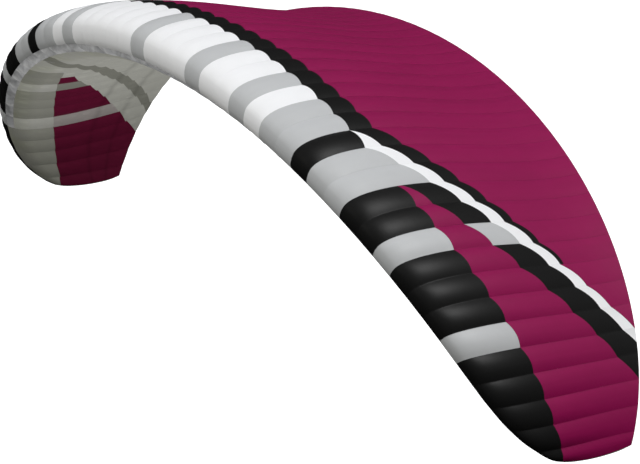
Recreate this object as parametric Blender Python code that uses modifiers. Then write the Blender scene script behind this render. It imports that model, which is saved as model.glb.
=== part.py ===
"""A paraglider wing: an inflated ram-air canopy of 50 cells, in metres, +Z up.

X runs along the span (+X is the left tip), -Y points forwards and the origin is on the underside of the
middle cell wall, where the wing is held. Every cloth is a strip of one inflated surface. A place on that
surface is (rib, side): rib counts the cell walls from the middle, positive to the left, and side is the
share of the chord behind the leading edge, positive on the top and negative on the underside.
"""

import bmesh
import bpy
import numpy as np
from mathutils import Matrix

# Cloth, in metres. The nose's seam gap is the gap between the upper lip and a closed cell's underside.
SHEET = 0.0012
SEAM_GAP = 0.0003
NOSE_SEAM_GAP = 0.0012

# Plan of the wing, in metres. Setbacks are measured back from the middle of each edge.
RIBS_PER_SIDE = 25
HALF_SPAN = 5.60
CENTRE_CHORD = 2.91
LEADING_EDGE_SETBACK = {2: 0.56, 4: 0.62, 24: 0.31}
TRAILING_EDGE_FORWARD = {2: 0.57, 10: 0.04}
TIP_ROUNDING = 0.037

# Cell widths: each cell's share narrows outwards, and the last cell is about half a cell.
WIDTH_LAW = {0: 1.0, 2: -0.166, 8: 0.068}
LAST_CELL = 0.55

# The arc: how far the cloth leans over at a share of the half span, in degrees.
ARC_LEAN = {1: 48.0, 3: 14.0, 5: 23.8}
TWIST_AT_TIP = -1.05
TWIST_AXIS = 0.3

# The cell wall's section, as shares of its chord. AEROFOIL is the usual four-digit thickness law.
AEROFOIL = {0.5: 1.4845, 1: -0.6300, 2: -1.7580, 3: 1.4215, 4: -0.5180}
TOP_DEPTH = 0.166
UNDERSIDE_DEPTH = 0.202
CREST_FORWARD = 0.84
REFLEX = 0.272
TRAILING_EDGE_HALF = 0.0015

# Near the tip the section thins to this share of its depth, by this power of the share of the span.
TIP_THICKNESS = 0.27
THINNING_POWER = 24

# How far a cell swells between its walls: SWELL of the cell's width, times the share for that side below.
SWELL = 0.096
SWELL_SIDE = (-1.0, -0.6, -0.3, -0.15, -0.06, -0.02, -0.011, 0.0, 0.01, 0.05, 0.12, 0.3, 0.6, 1.0)
SWELL_SHARE = (0.12, 0.40, 0.55, 0.55, 0.20, 0.0, 0.0, 0.3, 0.6, 0.95, 1.0, 0.75, 0.45, 0.12)

# The mouths of the cells lie between these two lips, on the underside of the nose.
UPPER_LIP = 0.011
LOWER_LIP = 0.045
OUTERMOST_MOUTH = 20

# Seams of the top cloth: rows of (rib counted from the middle, share of the chord). The stripe starts where
# the nose ends, and just outside the step rib the nose's seam steps forwards.
STRIPE_RIB = 10
STEP_RIB = 13
STEP_END = 13.04
NOSE_END = (
    (0, 0.185),
    (5, 0.194),
    (STRIPE_RIB, 0.195),
    (11, 0.193),
    (12, 0.264),
    (STEP_RIB, 0.329),
    (STEP_END, 0.193),
    (15, 0.217),
    (17, 0.248),
    (19, 0.275),
    (21, 0.292),
    (22, 0.290),
    (23, 0.271),
    (24, 0.209),
    (25, 0.075),
)
TIP_PANEL_END = ((STEP_RIB, 0.210), (14, 0.276), (17, 0.489), (19, 0.668), (21, 0.871), (22, 1.0))
STRIPE_START = (
    (STRIPE_RIB, 0.195),
    (11, 0.193),
    (12, 0.264),
    (STEP_RIB, 0.329),
    (15, 0.475),
    (16, 0.553),
    (18, 0.737),
    (20, 0.932),
    (21, 1.0),
)
STRIPE_END = (
    (STRIPE_RIB, 0.195),
    (11, 0.258),
    (STEP_RIB, 0.391),
    (15, 0.540),
    (17, 0.705),
    (19, 0.893),
    (20, 1.0),
)
BAND_END = (
    (0, 0.258),
    (5, 0.274),
    (STRIPE_RIB, 0.283),
    (STEP_RIB, 0.458),
    (15, 0.582),
    (17, 0.725),
    (18, 0.800),
)

# A tapering cloth is cut off square just short of the point where its two seams meet, in cells.
BLUNT_START = 0.06
BLUNT_END = 0.1

# Rows of points across each cloth, as shares of its width. The nose's are shares of its shortest length.
NOSE_ROWS = (0.0, 0.05, 0.20, 0.50, 0.85)
NOSE_LENGTH = 0.19
REAR_ROWS = (0.25, 0.50, 0.75)
TIP_ROWS = (0.35, 0.68)
UNDERSIDE_ROWS = (0.10, 0.18, 0.30, 0.50, 0.75, 1.0)
TOP_STEPS = (0.0, 1 / 3, 2 / 3)
UNDERSIDE_STEPS = (0.0, 0.5)
ROWS_APART = 0.004

# A cell wall stops short of the trailing edge. Its corners clear the cloth's folds by this multiple of the
# sheet, and a tip's closing panel clears the top cloth by the clearance, in metres.
RIB_END = 0.965
CORNER_SPARE = 1.12
TIP_CLEARANCE = 0.0030

CLOTHS = {
    "white": (0.86, 0.87, 0.89),
    "black": (0.012, 0.012, 0.013),
    "magenta": (0.22, 0.012, 0.075),
    "grey": (0.36, 0.36, 0.33),
}
CLOTH_ROUGHNESS = 0.55


def law(terms, share):
    """A sum of powers of share, from a table of power: amount."""
    return sum(amount * share**power for power, amount in terms.items())


def along(table, rib):
    """Reads a seam's share of the chord at a rib, on either side of the wing."""
    ribs, shares = zip(*table)
    return float(np.interp(abs(rib), ribs, shares))


def rib_shares():
    """The share of the half span at each rib, from the middle to the tip."""
    middles = (np.arange(RIBS_PER_SIDE) + 0.5) / RIBS_PER_SIDE
    widths = law(WIDTH_LAW, middles)
    widths[-1] *= LAST_CELL
    edges = np.concatenate([[0.0], np.cumsum(widths)])
    return edges / edges[-1]


def arc_points(steps=400):
    """Points along the arc of half the wing, seen from the front: share, x, z and lean in radians."""
    share = np.linspace(0.0, 1.0, steps + 1)
    lean = np.radians(law(ARC_LEAN, share))
    length = HALF_SPAN / steps
    across = np.concatenate([[0.0], np.cumsum((np.cos(lean[1:]) + np.cos(lean[:-1])) / 2 * length)])
    down = np.concatenate([[0.0], np.cumsum((np.sin(lean[1:]) + np.sin(lean[:-1])) / 2 * length)])
    return share, across, -down, lean


def section(side):
    """Height of the section above its chord line, as a share of the chord."""
    share = abs(side)
    bulk = law(AEROFOIL, share**CREST_FORWARD)
    if side > 0:
        return TOP_DEPTH * bulk - REFLEX * share**3 * (1 - share)
    return -UNDERSIDE_DEPTH * bulk


class Rib:
    """One cell wall's place and size. Its own axes are chordwise, up and along the span."""

    def __init__(self, number):
        share = SPAN_SHARES[abs(number)]
        hand = np.sign(number)
        across, down, lean = (np.interp(share, ARC[0], ARC[column]) for column in (1, 2, 3))
        front = law(LEADING_EDGE_SETBACK, share)
        self.number = number
        self.chord = CENTRE_CHORD - law(TRAILING_EDGE_FORWARD, share) - front
        self.fullness = 1 - (1 - TIP_THICKNESS) * share**THINNING_POWER
        self.rounding = TIP_ROUNDING * hand if abs(number) == RIBS_PER_SIDE else 0.0
        twist = np.radians(TWIST_AT_TIP) * share**2
        up = np.array([np.sin(lean) * hand, 0.0, np.cos(lean)])
        back = np.array([0.0, 1.0, 0.0])
        self.chordwise = back * np.cos(twist) - up * np.sin(twist)
        self.up = back * np.sin(twist) + up * np.cos(twist)
        self.spanwise = np.cross(self.chordwise, self.up)
        self.origin = np.array([across * hand, front + TWIST_AXIS * self.chord, down])

    def flat(self, side):
        """A point of the section in the wall's own plane: (chordwise, up), in metres."""
        share = abs(side)
        height = section(side) * self.fullness * self.chord + np.sign(side) * TRAILING_EDGE_HALF * share
        return np.array([(share - TWIST_AXIS) * self.chord, height])

    def point(self, side):
        """The same point in the wing's frame."""
        chordwise, up = self.flat(side)
        share = abs(side)
        bulge = self.rounding * 4 * share * (1 - share)
        return self.origin + self.chordwise * chordwise + self.up * up + self.spanwise * bulge


SPAN_SHARES = rib_shares()
ARC = arc_points()
RIBS = {number: Rib(number) for number in range(-RIBS_PER_SIDE, RIBS_PER_SIDE + 1)}
HELD_AT = RIBS[0].point(-TWIST_AXIS)


def surface_point(rib, side):
    """A point of the inflated surface, in the wing's frame with its origin where the wing is held."""
    inner = int(min(np.floor(rib), RIBS_PER_SIDE - 1))
    across = rib - inner
    first = RIBS[inner]
    second = RIBS[inner + 1]
    start = first.point(side)
    end = second.point(side)
    place = start + (end - start) * across
    if 0.0 < across < 1.0:
        nudge = 0.002
        ahead = first.point(side + nudge) + second.point(side + nudge)
        behind = first.point(side - nudge) + second.point(side - nudge)
        outward = np.cross(end - start, ahead - behind)
        outward /= np.linalg.norm(outward)
        height = SWELL * np.linalg.norm(end - start) * np.interp(side, SWELL_SIDE, SWELL_SHARE)
        place = place + outward * height * 4 * across * (1 - across)
    return place - HELD_AT


def chord_at(rib):
    """The chord at a place between two ribs."""
    inner = int(min(np.floor(rib), RIBS_PER_SIDE - 1))
    return RIBS[inner].chord + (RIBS[inner + 1].chord - RIBS[inner].chord) * (rib - inner)


def stations(first, last, steps):
    """Every rib and the steps between ribs from first to last, with both ends."""
    inside = [rib + step for rib in range(-RIBS_PER_SIDE, RIBS_PER_SIDE) for step in steps]
    return [first] + [place for place in inside if first < place < last] + [last]


def nose_rows(rib):
    """Rows of the nose panels, from the lip of the mouth to the seam behind the nose."""
    end = along(NOSE_END, rib)
    return [-UPPER_LIP] + [share * min(end, NOSE_LENGTH) for share in NOSE_ROWS] + [end]


def front_band_rows(rib):
    start = STRIPE_END if abs(rib) > STRIPE_RIB else NOSE_END
    return [along(start, rib), along(BAND_END, rib)]


def stripe_rows(rib):
    return [along(STRIPE_START, rib), along(STRIPE_END, rib)]


def outer_band_rows(rib):
    return [along(TIP_PANEL_END, rib), along(STRIPE_START, rib)]


def spread(start, end, shares):
    """A row at each end and at each share of the way between them."""
    return [start] + [start + (end - start) * share for share in shares] + [end]


def tip_panel_rows(rib):
    return spread(along(NOSE_END, rib), along(TIP_PANEL_END, rib), TIP_ROWS)


def rear_panel_rows(rib):
    return spread(max(along(BAND_END, rib), along(STRIPE_END, rib)), 1.0, REAR_ROWS)


def underside_rows(rib):
    """Rows of the underside, from the upper lip to the trailing edge. The first is only in closed cells."""
    return [-UPPER_LIP - NOSE_SEAM_GAP / chord_at(rib), -LOWER_LIP] + [-share for share in UNDERSIDE_ROWS]


def mirrored(first, last):
    """The same stretch of the other half of the wing."""
    return (-last, -first)


def blunt_end(seam):
    """The last place of a cloth that tapers to where its seam meets the trailing edge."""
    return seam[-1][0] - BLUNT_END


STRIPE_SPAN = (STRIPE_RIB + BLUNT_START, blunt_end(STRIPE_START))
OUTER_BAND_SPAN = (STEP_RIB + BLUNT_START, blunt_end(TIP_PANEL_END))
TIP_PANEL_SPAN = (STEP_RIB + BLUNT_START, RIBS_PER_SIDE)
REAR_END = blunt_end(STRIPE_END)

# The top cloths: their rows, cloth and first and last place along the span.
TOP_CLOTHS = {
    "nose_panels": (nose_rows, "white", (-RIBS_PER_SIDE, RIBS_PER_SIDE)),
    "front_band": (front_band_rows, "black", (-BAND_END[-1][0], BAND_END[-1][0])),
    "stripe_left": (stripe_rows, "white", STRIPE_SPAN),
    "stripe_right": (stripe_rows, "white", mirrored(*STRIPE_SPAN)),
    "outer_band_left": (outer_band_rows, "black", OUTER_BAND_SPAN),
    "outer_band_right": (outer_band_rows, "black", mirrored(*OUTER_BAND_SPAN)),
    "tip_panel_left": (tip_panel_rows, "magenta", TIP_PANEL_SPAN),
    "tip_panel_right": (tip_panel_rows, "magenta", mirrored(*TIP_PANEL_SPAN)),
    "rear_panel": (rear_panel_rows, "magenta", (-REAR_END, REAR_END)),
}


def clear_scene():
    for thing in list(bpy.data.objects):
        bpy.data.objects.remove(thing, do_unlink=True)


def cloth_material(name, colour):
    material = bpy.data.materials.new(name)
    material.use_nodes = True
    shader = material.node_tree.nodes["Principled BSDF"]
    shader.inputs["Base Color"].default_value = (*CLOTHS[colour], 1.0)
    shader.inputs["Roughness"].default_value = CLOTH_ROUGHNESS
    shader.inputs["Metallic"].default_value = 0.0
    return material


def add_sheet(mesh_builder, name, colour, collection, even=True):
    """Thickens an open surface that faces outwards into a sheet of cloth, inwards. even mitres its folds."""
    mesh = bpy.data.meshes.new(name)
    mesh_builder.to_mesh(mesh)
    mesh_builder.free()
    sheet = bpy.data.objects.new(name, mesh)
    sheet.data.materials.append(cloth_material(name, colour))
    collection.objects.link(sheet)
    solidify = sheet.modifiers.new("thickness", "SOLIDIFY")
    solidify.thickness = SHEET
    solidify.offset = -1.0
    solidify.use_even_offset = even
    return sheet


def strip_surface(places, rows_at, keep=None):
    """Lofts a strip through its rows at each place. keep says which quads stay, by place and row number."""
    builder = bmesh.new()
    grid = [[builder.verts.new(surface_point(place, side)) for side in rows_at(place)] for place in places]
    for column in range(len(places) - 1):
        for row in range(len(grid[0]) - 1):
            if keep is None or keep(places[column], row):
                near, far = grid[column], grid[column + 1]
                builder.faces.new((near[row], far[row], far[row + 1], near[row + 1]))
    return builder, grid


def with_seam_gaps(rows_at):
    """Draws a strip's two long edges in by half a seam gap, but for the lip and the trailing edge."""

    def drawn_in(rib):
        rows = rows_at(rib)
        half = SEAM_GAP / 2 / chord_at(rib)
        if rows[0] > 0.0:
            rows[0] += half
        if rows[-1] < 1.0:
            rows[-1] -= half
        return rows

    return drawn_in


def add_top_cloths(collection):
    for name, (rows_at, colour, ends) in TOP_CLOTHS.items():
        places = stations(*ends, TOP_STEPS)
        if name == "nose_panels":
            places = sorted(places + [-STEP_END, STEP_END])
        builder, _ = strip_surface(places, with_seam_gaps(rows_at))
        add_sheet(builder, name, colour, collection)


def rib_top_sides(rib):
    """Every row of the top cloths that crosses a rib, from the nose to the trailing edge, each once."""
    rows = []
    for rows_at, _, (first, last) in TOP_CLOTHS.values():
        if first <= rib <= last:
            rows += [side for side in rows_at(rib) if side >= 0.0]
    rows.sort()
    apart = np.diff(rows, prepend=-1.0) > ROWS_APART
    return [side for side, kept in zip(rows, apart) if kept]


def drawn_in_outline(points, distance):
    """Moves an open outline to its right by distance, with mitred corners."""
    runs = np.diff(points, axis=0)
    runs /= np.linalg.norm(runs, axis=1, keepdims=True)
    normals = np.stack([runs[:, 1], -runs[:, 0]], axis=1)
    before = np.vstack([normals[:1], normals])
    after = np.vstack([normals, normals[-1:]])
    mitre = (before + after) / (1 + (before * after).sum(axis=1, keepdims=True))
    return points + mitre * distance


def cut_at(outline, limit):
    """Cuts both ends of an open outline off behind limit, measured chordwise."""
    cut = outline.copy()
    for end, inner in ((0, 1), (-1, -2)):
        share = (limit - cut[inner][0]) / (cut[end][0] - cut[inner][0])
        cut[end] = cut[inner] + (cut[end] - cut[inner]) * share
    return cut


def rib_clearance(rib):
    """How far a cell wall stays inside the cloth round it: more where the leading edge sweeps past it."""
    number = abs(rib.number)
    inner, outer = (SPAN_SHARES[abs(neighbour)] for neighbour in (number - 1, number + 1))
    sweep = 0.0
    if number:
        setback = law(LEADING_EDGE_SETBACK, outer) - law(LEADING_EDGE_SETBACK, inner)
        sweep = setback / (HALF_SPAN * (outer - inner))
    return CORNER_SPARE * SHEET * np.hypot(1.0, sweep) + SHEET / 2 * sweep + SEAM_GAP


def rib_outline(rib):
    """The outline of a cell wall in its own plane, clear of the cloth round it."""
    under = [-share for share in reversed((UPPER_LIP, LOWER_LIP) + UNDERSIDE_ROWS)]
    points = np.array([rib.flat(side) for side in under + rib_top_sides(rib.number)])
    return cut_at(drawn_in_outline(points, rib_clearance(rib)), (RIB_END - TWIST_AXIS) * rib.chord)


def add_rib(rib, collection):
    """One flat cell wall: a filled outline, as thick as the cloth."""
    hand = "left" if rib.number > 0 else "right"
    name = f"rib_{hand}_{abs(rib.number):02d}" if rib.number else "rib_00"
    curve = bpy.data.curves.new(name, "CURVE")
    curve.dimensions = "2D"
    curve.fill_mode = "BOTH"
    curve.extrude = SHEET / 2
    spline = curve.splines.new("POLY")
    outline = rib_outline(rib)
    spline.points.add(len(outline) - 1)
    for point, (chordwise, up) in zip(spline.points, outline):
        point.co = (chordwise, up, 0.0, 1.0)
    spline.use_cyclic_u = True
    wall = bpy.data.objects.new(name, curve)
    wall.data.materials.append(cloth_material(name, "white"))
    collection.objects.link(wall)
    turn = Matrix(np.stack([rib.chordwise, rib.up, rib.spanwise], axis=1).tolist())
    wall.matrix_world = Matrix.Translation(rib.origin - HELD_AT) @ turn.to_4x4()


def add_ribs(collection):
    for number in range(1 - RIBS_PER_SIDE, RIBS_PER_SIDE):
        add_rib(RIBS[number], collection)


def closing_points(rib):
    """The upper edge of a tip's closing panel, tucked inside the top cloth, from the nose backwards."""
    sides = rib_top_sides(rib.number)[:-1]
    flat = np.array([rib.flat(side) for side in [-UPPER_LIP, *sides, 1.0]])
    inside = drawn_in_outline(flat, TIP_CLEARANCE)[1:-1]
    points = []
    for side, (chordwise, up) in zip(sides, inside):
        bulge = rib.rounding * 4 * side * (1 - side)
        points.append(rib.origin + rib.chordwise * chordwise + rib.up * up + rib.spanwise * bulge - HELD_AT)
    return points


def add_underside(collection):
    """The bottom cloth, open at the mouths, with a closing panel turned up at each tip."""

    def closed_or_behind_mouth(place, row):
        return row > 0 or not -OUTERMOST_MOUTH <= place < OUTERMOST_MOUTH

    places = stations(-RIBS_PER_SIDE, RIBS_PER_SIDE, UNDERSIDE_STEPS)
    builder, grid = strip_surface(places, underside_rows, closed_or_behind_mouth)
    bmesh.ops.reverse_faces(builder, faces=builder.faces)
    for rib, edge in ((RIBS[-RIBS_PER_SIDE], grid[0]), (RIBS[RIBS_PER_SIDE], grid[-1])):
        upper = [builder.verts.new(point) for point in closing_points(rib)]
        loop = edge[::-1] + upper
        builder.faces.new(loop if rib.number > 0 else loop[::-1])
    loose = [vert for vert in builder.verts if not vert.link_faces]
    bmesh.ops.delete(builder, geom=loose, context="VERTS")
    bmesh.ops.recalc_face_normals(builder, faces=builder.faces)
    add_sheet(builder, "underside", "grey", collection, even=False)


def main():
    clear_scene()
    collection = bpy.data.collections.new("paraglider_wing")
    bpy.context.scene.collection.children.link(collection)
    add_top_cloths(collection)
    add_underside(collection)
    add_ribs(collection)


main()
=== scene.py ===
"""The looks of a paraglider wing: an inflated canopy of fifty sewn cells.

The cloth is worked out here again, finer than the frame's solids and from the same sizes. A place
on it is (rib, side): rib counts the cell walls from the middle, positive to the left, and side is
the share of the chord behind the leading edge, positive on the top and negative on the underside.
"""

import math

import bmesh
import bpy
import numpy as np
from bpy.props import FloatProperty, FloatVectorProperty, PointerProperty
from bpy.types import Operator, Panel, PropertyGroup
from mathutils import Matrix, Vector


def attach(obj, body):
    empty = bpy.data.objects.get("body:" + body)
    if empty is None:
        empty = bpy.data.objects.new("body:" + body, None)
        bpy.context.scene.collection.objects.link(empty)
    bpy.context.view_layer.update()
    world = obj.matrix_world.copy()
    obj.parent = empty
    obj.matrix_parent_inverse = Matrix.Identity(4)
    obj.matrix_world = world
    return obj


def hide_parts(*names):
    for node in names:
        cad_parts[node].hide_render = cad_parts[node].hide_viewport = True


bl_info = {
    "name": "Paraglider wing",
    "version": (1, 0, 0),
    "blender": (4, 5, 0),
    "location": "3D View > Sidebar > Wing",
    "description": "Dresses the frame of a paraglider wing in sewn cloth",
    "category": "Object",
}

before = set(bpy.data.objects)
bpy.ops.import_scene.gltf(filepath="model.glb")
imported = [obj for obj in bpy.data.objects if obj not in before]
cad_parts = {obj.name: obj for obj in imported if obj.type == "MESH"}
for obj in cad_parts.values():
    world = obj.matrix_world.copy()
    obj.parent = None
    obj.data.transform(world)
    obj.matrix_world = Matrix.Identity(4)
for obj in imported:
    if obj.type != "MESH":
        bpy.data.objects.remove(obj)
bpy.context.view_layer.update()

RIBS_PER_SIDE = 25
OUTERMOST_MOUTH = 20
LEFT = 1
RIGHT = -1

# ---------------------------------------------------------------- the wing's form

# Plan, arc and section, as in the frame. Each table of powers is summed by law().
LEADING_EDGE_SETBACK = {2: 0.56, 4: 0.62, 24: 0.31}
TRAILING_EDGE_FORWARD = {2: 0.57, 10: 0.04}
WIDTH_LAW = {0: 1.0, 2: -0.166, 8: 0.068}
LAST_CELL = 0.55
ARC_LEAN = {1: 48.0, 3: 14.0, 5: 23.8}
ARC_STEPS = 400
AEROFOIL = {0.5: 1.4845, 1: -0.6300, 2: -1.7580, 3: 1.4215, 4: -0.5180}
TWIST_AT_TIP = -1.05
TWIST_AXIS = 0.3
TOP_DEPTH = 0.166
UNDERSIDE_DEPTH = 0.202
CREST_FORWARD = 0.84
REFLEX = 0.272
TRAILING_EDGE_HALF = 0.0015
TIP_THICKNESS = 0.27
THINNING_POWER = 24
TIP_ROUNDING = 0.037

# The swell of the cells: rows of (side, share of the full swell) and of (rib counted from the
# middle, factor), and how far beside a point its slope is read.
SWELL_ALONG_CHORD = (
    (-1.0, 0.12),
    (-0.6, 0.40),
    (-0.3, 0.55),
    (-0.15, 0.55),
    (-0.06, 0.20),
    (-0.02, 0.0),
    (-0.011, 0.0),
    (0.0, 0.3),
    (0.01, 0.6),
    (0.05, 0.95),
    (0.12, 1.0),
    (0.3, 0.75),
    (0.6, 0.45),
    (1.0, 0.12),
)
SWELL_ALONG_SPAN = ((13, 1.0), (18, 1.25))
SLOPE_REACH = 0.002

# The mouths lie between these two lips, as shares of the chord.
UPPER_LIP = 0.011
LOWER_LIP = 0.045

# ---------------------------------------------------------------- the cloths' cut

# Colour seams of the top: rows of (rib counted from the middle, share of the chord). Two rows at
# one rib are a step.
NOSE_END = (
    (0, 0.185),
    (5, 0.194),
    (10, 0.195),
    (11, 0.193),
    (12, 0.264),
    (13, 0.329),
    (13, 0.193),
    (15, 0.217),
    (17, 0.248),
    (19, 0.275),
    (21, 0.292),
    (22, 0.290),
    (23, 0.271),
    (24, 0.209),
    (25, 0.075),
)
TIP_PANEL_END = (
    (13, 0.210),
    (14, 0.276),
    (17, 0.489),
    (19, 0.668),
    (21, 0.871),
    (22, 1.0),
)
STRIPE_START = (
    (10, 0.195),
    (11, 0.193),
    (12, 0.264),
    (13, 0.329),
    (15, 0.475),
    (16, 0.553),
    (18, 0.737),
    (20, 0.932),
    (20.64, 1.0),
)
STRIPE_END = (
    (10, 0.195),
    (11, 0.258),
    (13, 0.391),
    (15, 0.540),
    (17, 0.705),
    (19, 0.893),
    (20.05, 1.0),
)
BAND_END = (
    (0, 0.258),
    (5, 0.274),
    (10, 0.283),
    (13, 0.458),
    (15, 0.582),
    (17, 0.725),
    (18, 0.800),
)
BAND_START = NOSE_END[:3] + STRIPE_END[1:-2] + BAND_END[-1:]
REAR_START = BAND_END + STRIPE_END[-2:]
TRAILING_EDGE = ((0, 1.0), (25, 1.0))

# Where the two seams of the stripe reach the trailing edge.
STRIPE_CUTS = (STRIPE_START[-1][0], STRIPE_END[-1][0])

# How far a colour seam bows: rows of (share of the chord, factor) and of (cell, factor).
BOW_ALONG_CHORD = ((0.30, 0.3), (0.45, 0.5), (0.80, 0.5), (0.88, 0.22))
BOW_ALONG_SPAN = ((5, 1.0), (10, 1.5), (14, 2.0))

# Colour seams of the underside: rows of (rib counted from the middle, share of the chord), for the
# dark stripe and the tip panels. These seams keep a share of their slope across a cell, and step at
# the walls.
DARK_START = (
    (10, 0.02),
    (11, 0.05),
    (12, 0.215),
    (13.2, 0.33),
    (15, 0.46),
    (17.3, 0.662),
    (18.6, 0.777),
    (19.9, 0.909),
    (20.75, 1.0),
)
DARK_END = (
    (10, 0.06),
    (11, 0.19),
    (12, 0.296),
    (13.3, 0.409),
    (15.1, 0.542),
    (17.2, 0.719),
    (19.1, 0.896),
    (20.2, 1.0),
)
UNDERSIDE_TIP_END = (
    (14, 0.27),
    (15, 0.33),
    (16, 0.412),
    (17, 0.488),
    (18, 0.567),
    (19, 0.65),
    (20, 0.748),
    (21, 0.85),
    (22, 1.0),
)
STEPPED_SLOPE = 0.9

# The cells of each half that a cloth crosses, counted from the middle.
BAND_CELLS = range(18)
REAR_CELLS = range(21)
STRIPE_CELLS = range(10, 21)
OUTER_BAND_CELLS = range(13, 22)
TIP_PANEL_CELLS = range(13, 25)
UNDERSIDE_FRONT_CELLS = range(13, 25)
UNDERSIDE_TIP_CELLS = range(14, 25)

# Single cells that have a colour of their own.
BAND_LAST_CELL = 17
GREY_CELL = 15
WHITE_CELL = 19

# The blocks of the nose, from the middle outwards: rows of (first cell on each side, colour). The
# two halves differ only near the middle.
OUTER_BLOCKS = (
    (6, "light_grey"),
    (7, "white"),
    (8, "light_grey"),
    (10, "black"),
    (11, "light_grey"),
    (13, "black"),
    (15, "light_grey"),
    (16, "black"),
    (19, "light_grey"),
    (20, "black"),
)
NOSE_BLOCKS_LEFT = ((0, "white"), (3, "light_grey"), (4, "white"), *OUTER_BLOCKS)
NOSE_BLOCKS_RIGHT = ((0, "light_grey"), (1, "white"), *OUTER_BLOCKS)

# A sheet's flat cut allows this much for the swell of the cells.
SPARE = 1.06

# ---------------------------------------------------------------- the mesh

# Columns of points across a cell, closest at its walls, and rows of points along the chord: over
# the nose, forwards from the upper lip, back from the lower lip, after whose last row the even rows
# start at a share of their strip, and over the closed mouths. Even rows are at most this far apart,
# as a share of the chord.
COLUMNS = (0.0, 0.02, 0.07, 0.15, 0.27, 0.42, 0.58, 0.73, 0.85, 0.93, 0.98, 1.0)
NOSE_ROWS = (0.0, 0.012, 0.03, 0.055, 0.09, 0.14, 0.21, 0.30, 0.41, 0.54, 0.68, 0.84, 1.0)
UPPER_LIP_ROWS = (1.0, 0.7, 0.4, 0.15)
LOWER_LIP_ROWS = (0.0, 0.03, 0.07, 0.12, 0.2, 0.3)
LOWER_LIP_ROWS_END = 0.35
CLOSED_MOUTH_ROWS = (0.0, 0.25, 0.5, 0.75, 1.0)
ROW_LENGTH = 0.09

# Cell walls: rows along the chord, columns up the wall, their distance inside the outer cloth, and
# that distance at most, as a share of the wall's height. The rows before the film's end are film.
WALL_ROWS = (
    0.003, 0.008, 0.016, 0.03, 0.05, 0.08, 0.12, 0.17, 0.23, 0.30,
    0.38, 0.46, 0.55, 0.64, 0.73, 0.82, 0.90, 0.96, 0.985,
)
WALL_COLUMNS = (0.0, 0.08, 0.25, 0.5, 0.75, 0.92, 1.0)
WALL_INSET = 0.003
WALL_INSET_MOST = 0.4
FILM_END = 0.12

# Each wall's flat map starts this much further up than its neighbour's, so their tones differ.
WALL_PATTERN_STEP = 0.37

# The panels that close the tips: rows along the chord, columns up the panel, how far it bulges in
# metres, and how soon it does behind its ends.
TIP_WALL_ROWS = (UPPER_LIP, 0.03, 0.07, *np.linspace(0.12, 0.97, 12), 1.0)
TIP_WALL_COLUMNS = np.linspace(0.0, 1.0, 7)
TIP_WALL_BULGE = 0.012
TIP_WALL_FULLNESS = 8

# A distance past every welt, pucker and billow, and what the closing panels' points say.
FAR_FROM_SEAMS = 1.0
TIP_WALL_MARKS = (0.0, 0.0, FAR_FROM_SEAMS, FAR_FROM_SEAMS, 0.0, 0.0)

# A patch narrower than this share of the chord is left out, a place this close to a wall, in ribs,
# is on it, and points within this many metres are joined.
NO_WIDTH = 1e-6
ON_WALL = 1e-9
WELD_REACH = 0.0001

# Only the cut rims of a sheet are sharper than this.
RIM_ANGLE = math.radians(60)

# ---------------------------------------------------------------- the cloths' looks

# Each cloth: its painted glow, which stands for the daylight that comes through it, how much
# painted shade lies in its seams' creases, how far its cells billow in millimetres, how uneven its
# tone is, and its thread as a share of its own colour.
CLOTH_LOOKS = {
    "white": (0.0, 0.03, -14.0, 0.04, 0.95),
    "light_grey": (0.0, 0.06, 1.0, 0.08, 0.9),
    "black": (0.0, 0.10, 6.0, 0.16, 1.6),
    "magenta": (0.0, 0.16, 9.0, 0.20, 0.75),
    "magenta_tip": (0.0, 0.16, 18.0, 0.20, 0.75),
    "underside_grey": (0.62, 0.06, 0.0, 0.08, 0.9),
    "underside_front": (0.50, 0.10, 0.0, 0.10, 0.9),
    "underside_dark": (0.68, 0.06, 0.0, 0.08, 0.9),
    "underside_light": (0.37, 0.08, 0.0, 0.08, 0.9),
    "underside_pale": (0.35, 0.08, 0.0, 0.08, 0.9),
    "underside_magenta": (0.47, 0.20, 0.0, 0.16, 0.75),
    "walls": (0.16, 0.0, 0.0, 0.16, 1.0),
    "film": (0.16, 0.0, 0.0, 0.3, 1.0),
    "lining": (0.14, 0.06, 0.0, 0.16, 1.0),
}
CLOTH_ROUGHNESS = 0.5
CLOTH_GLOSS = 0.1

# Rows of (rib counted from the middle, share of the daylight that reaches the underside). It scales
# the underside's painted glow, and darkens the film towards the tips with painted shade.
DAYLIGHT = (
    (0, 1.0),
    (14, 1.0),
    (17, 0.87),
    (19, 0.69),
    (20.5, 0.56),
    (21.5, 0.40),
    (23, 0.28),
    (25, 0.2),
)

# The ripstop grid in metres, with half a raised thread's width as a share of it, how steeply the
# thread rises and how round its top is.
WEAVE_GRID = 0.005
RAISED_HALF = 0.12
RAISED_SLOPE = 8.0
RAISED_ROUNDING = 0.1

# Seams, in metres: the welt's width, the stitch's length and half the thread's width. The thread
# runs at a share of the welt, and a share of each stitch shows.
WELT = 0.008
STITCH = 0.005
THREAD_HALF = 0.0007
THREAD_ROW = 0.6
STITCH_SHOWN = 0.6

# Puckers beside a wall: how many lie in a metre of span and of chord, and how far they reach.
PUCKER_COUNTS = (6.0, 32.0, 1.0)
PUCKER_DETAIL = 2.0
PUCKER_REACH = 0.07

# How far from its walls a cell's billow rises, in metres.
BILLOW_REACH = 0.1

# The painted shade in a seam's crease: how far behind the leading edge it is whole, in metres, how
# much of it shows where it comes and goes, and how fast it fades across the welt.
CREASE_START = 0.3
CREASE_SHOWN = 2.0
CREASE_FADE = 2.0

# Heights in millimetres. The bump turns them into metres, and shows a share of them.
WELT_HEIGHT = 0.5
STITCH_HEIGHT = 0.4
PUCKER_HEIGHT = 3.0
WEAVE_HEIGHT = 0.12
MILLIMETRE = 0.001
BUMP_STRENGTH = 0.6

# How fine the blotches are that the underside's straps, holes and tint follow.
SEE_THROUGH_SCALE = 3.0
SEE_THROUGH_DETAIL = 2.0
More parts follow.
